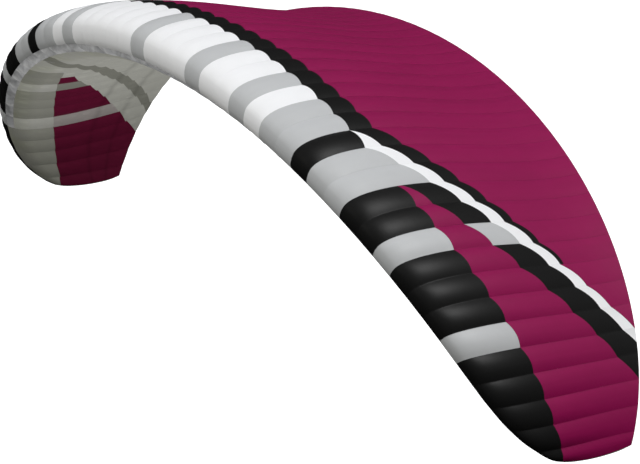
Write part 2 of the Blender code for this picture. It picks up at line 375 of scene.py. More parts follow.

# Straps run along the span inside the wing, and their painted shadows show faintly on the
# underside:
# their places, half their width and how much they wander, as shares of the chord, and how dark the
# shadows are.
STRAPS = (0.575, 0.78)
STRAP_HALF = 0.032
STRAP_WANDER = 0.03
STRAP_SHADE = 0.2

# The painted shade behind the lower lip: how dark it is, and its reach as a share of the chord.
LIP_SHADE = 0.4
LIP_SHADE_REACH = 0.15

# The holes through which the cells share their air, which show as painted light: their spacing in
# metres and half their length as a share of it, their distance from the wall and half their width
# in metres, how sharp their rims are, how few of them show and how sharply, and how much lighter
# they are.
PORT_SPACING = 0.19
PORT_HALF_LENGTH = 0.3
PORT_FROM_WALL = 0.05
PORT_HALF_WIDTH = 0.028
PORT_EDGE = 3.0
PORT_HIDDEN = 0.42
PORT_FADE = 5.0
PORT_LIGHT = 0.1

# The warm tint at the front of the underside: its colour as a share of the cloth's, its reach as a
# share of the chord, and how much of it there is and how sharply it ends.
TINT = (0.98, 1.0, 0.86)
TINT_REACH = 0.16
TINT_AMOUNT = 0.12
TINT_EDGE = 4.0

# The uneven tone's three noises, the last of which is the crumple: rows of (scale, stretch, detail,
# weight). The crumple's scale is a value of each cloth, and stiff film and lining are patchier,
# with painted light and shade that follow their crumples.
TONE_NOISES = (
    (1.3, (1.0, 1.0, 1.0), 3.0, 0.35),
    (1.0, (11.0, 0.8, 1.0), 2.0, 0.4),
    (1.0, (1.0, 1.0, 1.0), 4.0, 0.25),
)
CRUMPLE_DISTORTION = 0.6
CRUMPLE_SCALE = 9.0
PATCHY_CLOTHS = ("film", "lining")
PATCHY_SCALE = 10.0
PATCHY_AMOUNT = 1.9

# ---------------------------------------------------------------- the stage

GROUND_SIZE = 600.0
GROUND_COLOUR = (0.93, 0.93, 0.93, 1.0)
GROUND_GLOW = 0.6
WHITE_LIGHT = (1.0, 1.0, 1.0, 1.0)

# The dome's colour at three heights, from 0 straight down to 1 overhead.
DOME_BELOW = (0.455, (0.03, 0.03, 0.026, 1.0))
DOME_HORIZON = (0.515, (0.91, 0.90, 0.83, 1.0))
DOME_ABOVE = (0.75, (0.83, 0.835, 0.85, 1.0))

# Lamps: diameter in metres, power in watts and place. They all aim at one point.
KEY_LAMP = (8.0, 520.0, (10.5, -3.0, 11.5))
FILL_LAMP = (5.0, 150.0, (-1.0, -11.5, 2.5))
FILL_COLOUR = (1.0, 0.985, 0.93)
SHEEN_LAMP = (8.0, 3900.0, (9.5, 0.5, 11.5))
LAMP_AIM = Vector((1.5, 0.3, -0.5))

SENSOR_WIDTH = 36.0
CLIP_END = 2000.0


# ---------------------------------------------------------------- shape


def law(terms, share):
    """A sum of powers of share, from a table of power: amount."""
    return sum(amount * share**power for power, amount in terms.items())


def read(table, at):
    """Reads a table of (place, value) rows, along straight lines between them."""
    places, values = zip(*table)
    return np.interp(at, places, values)


def eased(table, at):
    """Reads a table of (place, value) rows, along a smooth curve that never overshoots them."""
    places, values = np.array(table).T
    slopes = np.diff(values) / np.diff(places)
    product = slopes[1:] * slopes[:-1]
    same_way = product > 0
    total = np.where(same_way, slopes[1:] + slopes[:-1], 1)
    mean = np.where(same_way, 2 * product / total, 0)
    tangents = np.concatenate([slopes[:1], mean, slopes[-1:]])
    row = np.clip(np.searchsorted(places, at, side="right") - 1, 0, len(slopes) - 1)
    width = places[row + 1] - places[row]
    way = (at - places[row]) / width
    start = (1 + 2 * way) * (1 - way) ** 2 * values[row]
    leaving = way * (1 - way) ** 2 * tangents[row] * width
    end = way**2 * (3 - 2 * way) * values[row + 1]
    arriving = way**2 * (way - 1) * tangents[row + 1] * width
    return (start + leaving) + (end + arriving)


def along(table, out, cell):
    """Reads a seam's share of the chord at out ribs from the middle, within one cell."""
    before = [row for row, (rib, _) in enumerate(table) if rib <= cell]
    after = [row for row, (rib, _) in enumerate(table) if rib >= cell + 1]
    first = before[-1] if before else 0
    last = after[0] if after else len(table) - 1
    return read(table[first : last + 1], out)


def stepped(table, out, cell):
    """A seam cut cell by cell: nearly straight across each one, with a step at every wall."""
    return read(table, cell + 0.5 + (out - cell - 0.5) * STEPPED_SLOPE)


def running_sum(values, length):
    """The sum of a curve up to each of its points, which are one length apart."""
    return np.concatenate([[0.0], np.cumsum((values[1:] + values[:-1]) / 2 * length)])


class Wing:
    """The inflated surface, worked out from the wing's sizes."""

    def __init__(self, sizes):
        middles = (np.arange(RIBS_PER_SIDE) + 0.5) / RIBS_PER_SIDE
        widths = law(WIDTH_LAW, middles)
        widths[-1] *= LAST_CELL
        edges = np.concatenate([[0.0], np.cumsum(widths)]) / widths.sum()
        numbers = np.arange(-RIBS_PER_SIDE, RIBS_PER_SIDE + 1)
        share = edges[np.abs(numbers)]
        hand = np.sign(numbers)
        arc = np.linspace(0.0, 1.0, ARC_STEPS + 1)
        leans = np.radians(law(ARC_LEAN, arc))
        length = sizes.half_span / ARC_STEPS
        across = running_sum(np.cos(leans), length)
        down = running_sum(np.sin(leans), length)
        lean = np.interp(share, arc, leans)
        front = law(LEADING_EDGE_SETBACK, share)
        self.swell = sizes.swell
        self.bow = sizes.seam_bow
        self.cloth = sizes.cloth
        self.along_span = share * hand * sizes.half_span
        self.chord = sizes.centre_chord - law(TRAILING_EDGE_FORWARD, share) - front
        self.fullness = 1 - (1 - TIP_THICKNESS) * share**THINNING_POWER
        self.rounding = np.where(np.abs(numbers) == RIBS_PER_SIDE, TIP_ROUNDING * hand, 0.0)
        twist = np.radians(TWIST_AT_TIP) * share[:, None] ** 2
        up = np.stack([np.sin(lean) * hand, 0 * lean, np.cos(lean)], axis=1)
        back = np.array([0.0, 1.0, 0.0])
        self.chordwise = back * np.cos(twist) - up * np.sin(twist)
        self.up = back * np.sin(twist) + up * np.cos(twist)
        self.spanwise = np.cross(self.chordwise, self.up)
        outwards = np.interp(share, arc, across) * hand
        downwards = np.interp(share, arc, down)
        rearwards = front + TWIST_AXIS * self.chord
        self.origin = np.stack([outwards, rearwards, -downwards], axis=1)
        self.held_at = np.zeros(3)
        self.held_at = self.on_rib(np.array([RIBS_PER_SIDE]), np.array([-TWIST_AXIS]))[0]

    def on_rib(self, row, side):
        """Points of the section of each row's cell wall, in the wing's frame."""
        share = np.abs(side)
        bulk = law(AEROFOIL, share**CREST_FORWARD)
        top = TOP_DEPTH * bulk - REFLEX * share**3 * (1 - share)
        depth = np.where(side > 0, top, -UNDERSIDE_DEPTH * bulk)
        chord = self.chord[row]
        height = depth * self.fullness[row] * chord + np.sign(side) * TRAILING_EDGE_HALF * share
        bulge = self.rounding[row] * 4 * share * (1 - share)
        place = self.origin[row] + self.chordwise[row] * ((share - TWIST_AXIS) * chord)[:, None]
        place = place + self.up[row] * height[:, None] + self.spanwise[row] * bulge[:, None]
        return place - self.held_at

    def point(self, rib, side):
        """Points of the inflated surface at arrays of rib and side."""
        row = np.floor(rib).astype(int) + RIBS_PER_SIDE
        row = np.clip(row, 0, 2 * RIBS_PER_SIDE - 1)
        across = rib + RIBS_PER_SIDE - row
        start = self.on_rib(row, side)
        end = self.on_rib(row + 1, side)
        ahead = self.on_rib(row, side + SLOPE_REACH) + self.on_rib(row + 1, side + SLOPE_REACH)
        behind = self.on_rib(row, side - SLOPE_REACH) + self.on_rib(row + 1, side - SLOPE_REACH)
        outward = np.cross(end - start, ahead - behind)
        outward /= np.linalg.norm(outward, axis=1, keepdims=True)
        width = np.linalg.norm(end - start, axis=1)
        swell = self.swell * read(SWELL_ALONG_SPAN, np.abs(rib))
        height = swell * width * eased(SWELL_ALONG_CHORD, side) * 4 * across * (1 - across)
        return start + (end - start) * across[:, None] + outward * height[:, None]

    def seam(self, table, out, cell):
        """A seam's share of the chord across one cell, bowed back in its middle."""
        way = out - cell
        share = along(table, out, cell)
        bow = self.bow * read(BOW_ALONG_CHORD, share) * read(BOW_ALONG_SPAN, cell)
        bow = bow * 4 * way * (1 - way)
        return np.minimum(share + np.where(share < 1.0, bow, 0.0), 1.0)

    def columns(self, cell):
        """Places across one cell, counted outwards from the middle of the wing."""
        cuts = [cut for cut in STRIPE_CUTS if cell < cut < cell + 1]
        return np.unique(np.concatenate([cell + np.array(COLUMNS), cuts]))


# ---------------------------------------------------------------- patches


class Patch:
    """A grid of points on one cell, in one colour: rows of sides for each column.

    edge is how far each point is from the nearer of its two seams, as a share of the chord.
    """

    def __init__(self, out, hand, sides, colour):
        self.rib = np.repeat(out[:, None] * hand, sides.shape[1], axis=1)
        self.side = sides
        self.hand = hand
        self.colour = colour
        self.edge = np.minimum(np.abs(sides - sides[:, :1]), np.abs(sides[:, -1:] - sides))

    def inside_out(self):
        """Whether its quads face inwards, for its sides run forwards or its ribs to the right."""
        rearwards = np.sum(self.side[:, -1] - self.side[:, 0])
        return self.hand * rearwards < 0


def spread(start, end, shares):
    """Rows of sides from start to end, one column for each place."""
    return start[:, None] + (end - start)[:, None] * np.array(shares)[None, :]


def even_rows(start, end):
    """Even shares for the rows of a strip, close enough to follow the section."""
    count = max(2, math.ceil(np.max(end - start) / ROW_LENGTH))
    return np.linspace(0.0, 1.0, count + 1)


def both_halves(make):
    return make(LEFT) + make(RIGHT)


def cloth_strip(wing, cells, hand, start_law, end_law, colour_of):
    """The patches of a top cloth between two seams, over a run of cells of one half."""
    patches = []
    for cell in cells:
        out = wing.columns(cell)
        start = wing.seam(start_law, out, cell)
        end = np.maximum(wing.seam(end_law, out, cell), start)
        sides = spread(start, end, even_rows(start, end))
        patches.append(Patch(out, hand, sides, colour_of(cell)))
    return patches


def nose_strip(wing, hand, blocks):
    """The patches of the nose, from the upper lip of the mouths back to its seam."""
    patches = []
    for cell in range(RIBS_PER_SIDE):
        out = wing.columns(cell)
        lip = np.tile(-UPPER_LIP * np.array(UPPER_LIP_ROWS), (len(out), 1))
        nose = spread(np.zeros_like(out), wing.seam(NOSE_END, out, cell), NOSE_ROWS)
        colour = [colour for first, colour in blocks if first <= cell][-1]
        patches.append(Patch(out, hand, np.concatenate([lip, nose], axis=1), colour))
    return patches


def underside_strip(wing, hand):
    """The patches of the underside, from the lower lip of the mouths to the trailing edge."""
    patches = []
    for cell in range(RIBS_PER_SIDE):
        out = wing.columns(cell)
        seams, colours = underside_seams(out, cell)
        for number, colour in enumerate(colours):
            start, end = seams[number : number + 2]
            if np.max(end - start) <= NO_WIDTH:
                continue
            rows = even_rows(start, end)
            if number == 0:
                rows = np.concatenate([LOWER_LIP_ROWS, rows[rows > LOWER_LIP_ROWS_END]])
            patches.append(Patch(out, hand, -spread(start, end, rows), colour))
        if cell >= OUTERMOST_MOUTH:
            closed = -spread(np.full_like(out, UPPER_LIP), seams[0], CLOSED_MOUTH_ROWS)
            patches.append(Patch(out, hand, closed, colours[0]))
    return patches


def underside_seams(out, cell):
    """The seams of one cell of the underside, from the lip back, and the colours between them."""
    seams = [np.full_like(out, LOWER_LIP)]
    colours = [underside_front_colour(cell)]
    if cell in UNDERSIDE_FRONT_CELLS:
        seams.append(np.maximum(stepped(NOSE_END, out, cell), LOWER_LIP))
        colours.append("underside_grey")
    if cell in UNDERSIDE_TIP_CELLS:
        seams.append(np.maximum(stepped(UNDERSIDE_TIP_END, out, cell), seams[-1]))
        colours[-1:] = [underside_tip_colour(cell), "underside_grey"]
    if cell in STRIPE_CELLS:
        start = np.maximum(stepped(DARK_START, out, cell), seams[-1])
        seams += [start, np.maximum(stepped(DARK_END, out, cell), start)]
        colours += ["underside_dark", "underside_grey"]
    seams.append(np.ones_like(out))
    return seams, colours


def underside_front_colour(cell):
    if cell in (GREY_CELL, WHITE_CELL):
        return "underside_light"
    # The front of the outer cells takes a darker copy of the underside grey: painted shade.
    return "underside_front" if cell in UNDERSIDE_FRONT_CELLS else "underside_grey"


def underside_tip_colour(cell):
    if cell == GREY_CELL:
        return "underside_dark"
    if cell == WHITE_CELL:
        return "underside_pale"
    # The tips' real magenta, set darker on the underside: partly painted shade.
    return "underside_magenta"


# ---------------------------------------------------------------- sheets


def quads_of(grid):
    """The quads between the rows and columns of a grid of point numbers."""
    corners = [grid[:-1, :-1], grid[1:, :-1], grid[1:, 1:], grid[:-1, 1:]]
    return np.stack(corners, axis=2).reshape(-1, 4)


def marks_of(wing, patch):
    """Each point's flat map, distances to its wall and seam, share of the chord and daylight."""
    rib = np.abs(patch.rib.ravel())
    side = patch.side.ravel()
    whole = np.clip(np.floor(rib + ON_WALL).astype(int), 0, RIBS_PER_SIDE - 1)
    way = rib - whole
    row = RIBS_PER_SIDE + whole
    width = wing.along_span[row + 1] - wing.along_span[row]
    chord = wing.chord[row] + (wing.chord[row + 1] - wing.chord[row]) * way
    along_span = (wing.along_span[row] + width * way) * np.sign(patch.rib.ravel())
    to_wall = np.minimum(way, 1 - way) * width
    to_edge = patch.edge.ravel() * chord
    daylight = read(DAYLIGHT, rib)
    columns = [along_span, side * chord, to_wall, to_edge, np.abs(side), daylight]
    return np.stack(columns, axis=1)


def piece_from(wing, name, patches, extra=None):
    """Joins patches, and extra points and quads of one colour, into one sheet of cloth."""
    places = []
    faces = []
    colours = []
    marks = []
    offset = 0
    for patch in patches:
        places.append(wing.point(patch.rib.ravel(), patch.side.ravel()))
        marks.append(marks_of(wing, patch))
        quads = quads_of(offset + np.arange(patch.side.size).reshape(patch.side.shape))
        faces.append(quads[:, ::-1] if patch.inside_out() else quads)
        colours += [patch.colour] * len(quads)
        offset += patch.side.size
    if extra is not None:
        points, quads, colour = extra
        places.append(points)
        marks.append(np.tile(TIP_WALL_MARKS, (len(points), 1)))
        faces.append(quads + offset)
        colours += [colour] * len(quads)
    marks = np.concatenate(marks)
    mesh = bpy.data.meshes.new(name)
    mesh.from_pydata(np.concatenate(places).tolist(), [], np.concatenate(faces).tolist())
    used = sorted(set(colours)) + ["lining"]
    for colour in used:
        mesh.materials.append(bpy.data.materials[colour])
    mesh.polygons.foreach_set("material_index", [used.index(colour) for colour in colours])
    mark_cloth(mesh, marks)
    weld(mesh)
    add_sheet(name, mesh, marks, wing.cloth)


def mark_cloth(mesh, marks):
    """Gives a mesh its flat map in metres and the values that its material reads."""
    corners = np.empty(len(mesh.loops), dtype=np.int32)
    mesh.loops.foreach_get("vertex_index", corners)
    cloth = mesh.uv_layers.new(name="cloth")
    cloth.data.foreach_set("uv", marks[corners, :2].ravel())
    for column, name in enumerate(("to_wall", "to_edge", "share", "daylight"), 2):
        attribute = mesh.attributes.new(name, "FLOAT", "POINT")
        attribute.data.foreach_set("value", marks[:, column])


def weld(mesh):
    """Joins the patches' edges where they meet and drops the faces that close up to nothing."""
    builder = bmesh.new()
    builder.from_mesh(mesh)
    bmesh.ops.remove_doubles(builder, verts=builder.verts, dist=WELD_REACH)
    bmesh.ops.dissolve_degenerate(builder, dist=WELD_REACH, edges=builder.edges)
    builder.to_mesh(mesh)
    builder.free()


def flat_size(marks):
    """The rectangle that a sheet is cut from: its reach along the span, and its longest run
    along the chord."""
    places, column = np.unique(np.round(marks[:, 0], 4), return_inverse=True)
    front = np.full(len(places), np.inf)
    rear = np.full(len(places), -np.inf)
    np.minimum.at(front, column, marks[:, 1])
    np.maximum.at(rear, column, marks[:, 1])
    return float(np.ptp(places) * SPARE), float(np.max(rear - front) * SPARE)


def add_sheet(name, mesh, marks, thickness):
    """Thickens a mesh inwards, with its last material on the inner face, and adds it in place of
    its node."""
    piece = bpy.data.objects.new(f"{name}_cloth", mesh)
    bpy.context.scene.collection.objects.link(piece)
    thicken = piece.modifiers.new("thickness", "SOLIDIFY")
    thicken.thickness = thickness
    thicken.offset = -1.0
    thicken.material_offset = len(mesh.materials)
    thickened = piece.evaluated_get(bpy.context.evaluated_depsgraph_get())
    piece.data = bpy.data.meshes.new_from_object(thickened)
    piece.modifiers.clear()
    piece.data.shade_smooth()
    piece.data.set_sharp_from_angle(angle=RIM_ANGLE)
    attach(piece, "root")
    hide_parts(name)
    flat_size(marks)


def add_wall(wing, name, number):
    """The flat wall between two cells, set in from the cloths around it."""
    row = number + RIBS_PER_SIDE
    shares = np.array(WALL_ROWS)
    rows = np.full(len(shares), row)
    lower = wing.on_rib(rows, -shares)
    upper = wing.on_rib(rows, shares)
    height = np.linalg.norm(upper - lower, axis=1)
    inset = np.minimum(WALL_INSET / height, WALL_INSET_MOST)[:, None]
    ways = inset + (1 - 2 * inset) * np.array(WALL_COLUMNS)[None, :]
    points = lower[:, None, :] + (upper - lower)[:, None, :] * ways[:, :, None]
    points = points + wing.spanwise[row] * wing.cloth / 2
    quads = quads_of(np.arange(ways.size).reshape(ways.shape))
    mesh = bpy.data.meshes.new(name)
    mesh.from_pydata(points.reshape(-1, 3).tolist(), [], quads.tolist())
    mesh.materials.append(bpy.data.materials["film"])
    mesh.materials.append(bpy.data.materials["walls"])
    is_wall = np.repeat(shares[:-1] >= FILM_END, len(WALL_COLUMNS) - 1).astype(int)
    mesh.polygons.foreach_set("material_index", is_wall.tolist())
    upwards = (ways * height[:, None]).ravel() + number * WALL_PATTERN_STEP
    along_chord = np.repeat(shares * wing.chord[row], len(WALL_COLUMNS))
    to_rim = (np.minimum(ways, 1 - ways) * height[:, None]).ravel()
    daylight = np.full_like(to_rim, read(DAYLIGHT, abs(number)))
    columns = [upwards, along_chord, to_rim + FAR_FROM_SEAMS, to_rim, to_rim, daylight]
    marks = np.stack(columns, axis=1)
    mark_cloth(mesh, marks)
    add_sheet(name, mesh, marks, wing.cloth)


def tip_walls(wing):
    """The panel that closes the wing at each tip, as the points and quads of both."""
    shares = np.array(TIP_WALL_ROWS)
    ways = TIP_WALL_COLUMNS
    profile = TIP_WALL_BULGE * np.sin(np.pi * ways)
    bulge = profile * np.minimum(1.0, TIP_WALL_FULLNESS * shares * (1 - shares))[:, None]
    points = []
    quads = []
    for number, (row, hand) in enumerate(((0, RIGHT), (2 * RIBS_PER_SIDE, LEFT))):
        rows = np.full(len(shares), row)
        lower = wing.on_rib(rows, -shares)
        upper = wing.on_rib(rows, shares)
        grid = lower[:, None, :] + (upper - lower)[:, None, :] * ways[None, :, None]
        grid = grid + wing.spanwise[row] * hand * bulge[:, :, None]
        points.append(grid.reshape(-1, 3))
        faces = quads_of(number * bulge.size + np.arange(bulge.size).reshape(bulge.shape))
        quads.append(faces if hand == LEFT else faces[:, ::-1])
    return np.concatenate(points), np.concatenate(quads), "underside_grey"


# ---------------------------------------------------------------- materials


def shader_group(name, inputs, outputs):
    """An empty node group. inputs are rows of (name, socket type), and outputs are names."""
    group = bpy.data.node_groups.new(name, "ShaderNodeTree")
    for label, kind in inputs:
        group.interface.new_socket(label, in_out="INPUT", socket_type=kind)
    for label in outputs:
        group.interface.new_socket(label, in_out="OUTPUT", socket_type="NodeSocketFloat")
    return group, group.nodes.new("NodeGroupInput"), group.nodes.new("NodeGroupOutput")


class Maths:
    """Adds math nodes to a tree and links them as they are made."""

    def __init__(self, tree):
        self.tree = tree

    def __call__(self, operation, *values, clamp=False):
        node = self.tree.nodes.new("ShaderNodeMath")
        node.operation = operation
        node.use_clamp = clamp
        for socket, value in zip(node.inputs, values):
            if isinstance(value, (int, float)):
                socket.default_value = value
            else:
                self.tree.links.new(value, socket)
        return node.outputs[0]


def stretched(group, vector, scale):
    """A vector with each of its parts multiplied."""
    node = group.nodes.new("ShaderNodeVectorMath")
    node.operation = "MULTIPLY"
    node.inputs[1].default_value = scale
    group.links.new(vector, node.inputs[0])
    return node.outputs[0]


def noise_on(group, vector, scale, detail):
    node = group.nodes.new("ShaderNodeTexNoise")
    node.inputs["Scale"].default_value = scale
    node.inputs["Detail"].default_value = detail
    group.links.new(vector, node.inputs["Vector"])
    return node


def parted(group, vector):
    node = group.nodes.new("ShaderNodeSeparateXYZ")
    group.links.new(vector, node.inputs[0])
    return node.outputs


def make_weave_group():
    """Ripstop: a plain weave with a raised grid of doubled threads. Its vector is in metres."""
    group, start, end = shader_group(
        "ripstop_weave",
        (("Cloth", "NodeSocketVector"), ("Grid", "NodeSocketFloat")),
        ("Height",),
    )
    maths = Maths(group)
    place = parted(group, start.outputs["Cloth"])
    threads = []
    for axis in ("X", "Y"):
        near = maths("PINGPONG", maths("DIVIDE", place[axis], start.outputs["Grid"]), 0.5)
        rise = maths("MULTIPLY", maths("SUBTRACT", RAISED_HALF, near), RAISED_SLOPE)
        threads.append(maths("SMOOTH_MIN", rise, 1.0, RAISED_ROUNDING))
    raised = maths("MAXIMUM", maths("MAXIMUM", threads[0], threads[1]), 0.0)
    group.links.new(raised, end.inputs["Height"])
    return group


def make_seam_group():
    """Sewn seams: a folded welt on each wall and colour seam, its stitches, the puckers, and the
    painted shade in its crease.
    """
    group, start, end = shader_group(
        "sewn_seam",
        (
            ("Cloth", "NodeSocketVector"),
            ("To Wall", "NodeSocketFloat"),
            ("To Edge", "NodeSocketFloat"),
            ("Welt", "NodeSocketFloat"),
            ("Stitch", "NodeSocketFloat"),
            ("Billow", "NodeSocketFloat"),
        ),
        ("Height", "Stitches", "Crease"),
    )
    maths = Maths(group)
    place = parted(group, start.outputs["Cloth"])
    wall = start.outputs["To Wall"]
    welt = start.outputs["Welt"]
    nearest = maths("MINIMUM", wall, start.outputs["To Edge"])
    fold = maths("SUBTRACT", 1.0, maths("DIVIDE", nearest, welt), clamp=True)
    # A row of thread on each side of the seam, broken into stitches.
    row = maths("ABSOLUTE", maths("SUBTRACT", nearest, maths("MULTIPLY", welt, THREAD_ROW)))
    thread = maths("LESS_THAN", row, THREAD_HALF)
    run = maths("DIVIDE", maths("ADD", place["X"], place["Y"]), start.outputs["Stitch"])
    stitches = maths("MULTIPLY", thread, maths("LESS_THAN", maths("FRACT", run), STITCH_SHOWN))
    # Puckers run away from the wall and fade within a few centimetres.
    crumpled = stretched(group, start.outputs["Cloth"], PUCKER_COUNTS)
    noise = noise_on(group, crumpled, 1.0, PUCKER_DETAIL).outputs["Fac"]
    fade = maths("SUBTRACT", 1.0, maths("DIVIDE", wall, PUCKER_REACH), clamp=True)
    pucker = maths("MULTIPLY", maths("SUBTRACT", noise, 0.5), fade)
    height = maths("MULTIPLY", fold, WELT_HEIGHT)
    height = maths("ADD", height, maths("MULTIPLY", pucker, PUCKER_HEIGHT))
    height = maths("ADD", height, maths("MULTIPLY", stitches, STITCH_HEIGHT))
    # A cell billows more than its mesh does, most steeply beside its walls.
    inwards = maths("DIVIDE", wall, BILLOW_REACH, clamp=True)
    rise = maths("MULTIPLY", inwards, maths("SUBTRACT", 2.0, inwards))
    billow = maths("MULTIPLY", rise, start.outputs["Billow"])
    group.links.new(maths("ADD", height, billow), end.inputs["Height"])
    group.links.new(stitches, end.inputs["Stitches"])
    # The crease's painted shade comes and goes along the seam, and fades towards the leading edge.
    drawn = maths("MULTIPLY", noise, CREASE_SHOWN, clamp=True)
    behind = maths("DIVIDE", maths("ABSOLUTE", place["Y"]), CREASE_START, clamp=True)
    crease_shade = maths("MULTIPLY", maths("POWER", fold, CREASE_FADE), maths("MULTIPLY", drawn, behind))
    group.links.new(crease_shade, end.inputs["Crease"])
    return group


def make_see_through_group():
    """What shows through the underside: a painted glow for the daylight, painted shadows of the
    straps and behind the lip, painted light at the holes, and a warm tint.
    """
    group, start, end = shader_group(
        "see_through",
        (
            ("Cloth", "NodeSocketVector"),
            ("To Wall", "NodeSocketFloat"),
            ("Share", "NodeSocketFloat"),
            ("Daylight", "NodeSocketFloat"),
        ),
        ("Glow", "Shade", "Tint"),
    )
    maths = Maths(group)
    chord_share = start.outputs["Share"]
    blotches = noise_on(group, start.outputs["Cloth"], SEE_THROUGH_SCALE, SEE_THROUGH_DETAIL)
    noise = blotches.outputs["Fac"]
    uneven = maths("SUBTRACT", noise, 0.5)
    wandering = maths("ADD", chord_share, maths("MULTIPLY", uneven, STRAP_WANDER))
    # Painted shadows of the straps inside, seen through the cloth.
    strap_shadows = 0.0
    for strap in STRAPS:
        away = maths("DIVIDE", maths("ABSOLUTE", maths("SUBTRACT", wandering, strap)), STRAP_HALF)
        strap_shadows = maths("ADD", strap_shadows, maths("SUBTRACT", 1.0, away, clamp=True))
    # Painted shade behind the lower lip, fading back along the chord.
    behind_lip = maths("SUBTRACT", 1.0, maths("DIVIDE", chord_share, LIP_SHADE_REACH), clamp=True)
    darker = maths("MULTIPLY", strap_shadows, STRAP_SHADE)
    darker = maths("ADD", darker, maths("MULTIPLY", behind_lip, LIP_SHADE))
    # Painted light: ovals along each wall, only some of which show.
    place = parted(group, start.outputs["Cloth"])
    along_wall = maths("PINGPONG", maths("DIVIDE", place["Y"], PORT_SPACING), 0.5)
    from_middle = maths("SUBTRACT", start.outputs["To Wall"], PORT_FROM_WALL)
    oval = maths(
        "ADD",
        maths("POWER", maths("DIVIDE", along_wall, PORT_HALF_LENGTH), 2.0),
        maths("POWER", maths("DIVIDE", from_middle, PORT_HALF_WIDTH), 2.0),
    )
    ports = maths("MULTIPLY", maths("SUBTRACT", 1.0, oval), PORT_EDGE, clamp=True)
    shown = maths("MULTIPLY", maths("SUBTRACT", noise, PORT_HIDDEN), PORT_FADE, clamp=True)
    lighter = maths("MULTIPLY", maths("MULTIPLY", ports, shown), PORT_LIGHT)
    shade = maths("SUBTRACT", 1.0, maths("SUBTRACT", darker, lighter))
    group.links.new(shade, end.inputs["Shade"])
    group.links.new(start.outputs["Daylight"], end.inputs["Glow"])
    front = maths("SUBTRACT", 1.0, maths("DIVIDE", chord_share, TINT_REACH), clamp=True)
    tinted = maths("MULTIPLY", maths("ADD", uneven, TINT_AMOUNT), TINT_EDGE, clamp=True)
    group.links.new(maths("MULTIPLY", front, tinted), end.inputs["Tint"])
    return group


def make_tone_group():
    """The cloth's uneven tone: broad shifts, streaks along the chord, and fine crumples."""
    group, start, end = shader_group(
        "cloth_tone",
        (
            ("Cloth", "NodeSocketVector"),
            ("Amount", "NodeSocketFloat"),
            ("Fineness", "NodeSocketFloat"),
            ("Patchy", "NodeSocketFloat"),
        ),
        ("Tone", "Crumple"),
    )
    maths = Maths(group)
    uneven = 0.0
    for scale, stretch, detail, weight in TONE_NOISES:
        vector = stretched(group, start.outputs["Cloth"], stretch)
        noise = noise_on(group, vector, scale, detail)
        uneven = maths("ADD", uneven, maths("MULTIPLY", noise.outputs["Fac"], weight))
    group.links.new(start.outputs["Fineness"], noise.inputs["Scale"])
    noise.inputs["Distortion"].default_value = CRUMPLE_DISTORTION
    crumple = noise.outputs["Fac"]
    shift = maths("MULTIPLY", maths("SUBTRACT", uneven, 0.5), start.outputs["Amount"])
    # For film and lining, painted light and shade that follow the crumples.
    patches = maths("MULTIPLY", maths("SUBTRACT", crumple, 0.5), start.outputs["Patchy"])
    tone = maths("ADD", maths("ADD", 1.0, patches), maths("MULTIPLY", shift, 2.0))
    group.links.new(tone, end.inputs["Tone"])
    group.links.new(crumple, end.inputs["Crumple"])
    return group


def value_of(tree, name):
    """A value that the mesh carries point by point."""
    node = tree.nodes.new("ShaderNodeAttribute")
    node.attribute_name = name
    return node.outputs["Fac"]


def mix(tree, blend, factor, first, second):
    """Mixes two colours, each a link or a constant."""
    node = tree.nodes.new("ShaderNodeMix")
    node.data_type = "RGBA"
    node.blend_type = blend
    for label, value in (("Factor", factor), ("A", first), ("B", second)):
        if isinstance(value, bpy.types.NodeSocket):
            tree.links.new(value, node.inputs[label])
        elif label == "Factor":
            node.inputs[label].default_value = value
        else:
            node.inputs[label].default_value = (*value, 1.0)
    return node.outputs["Result"]


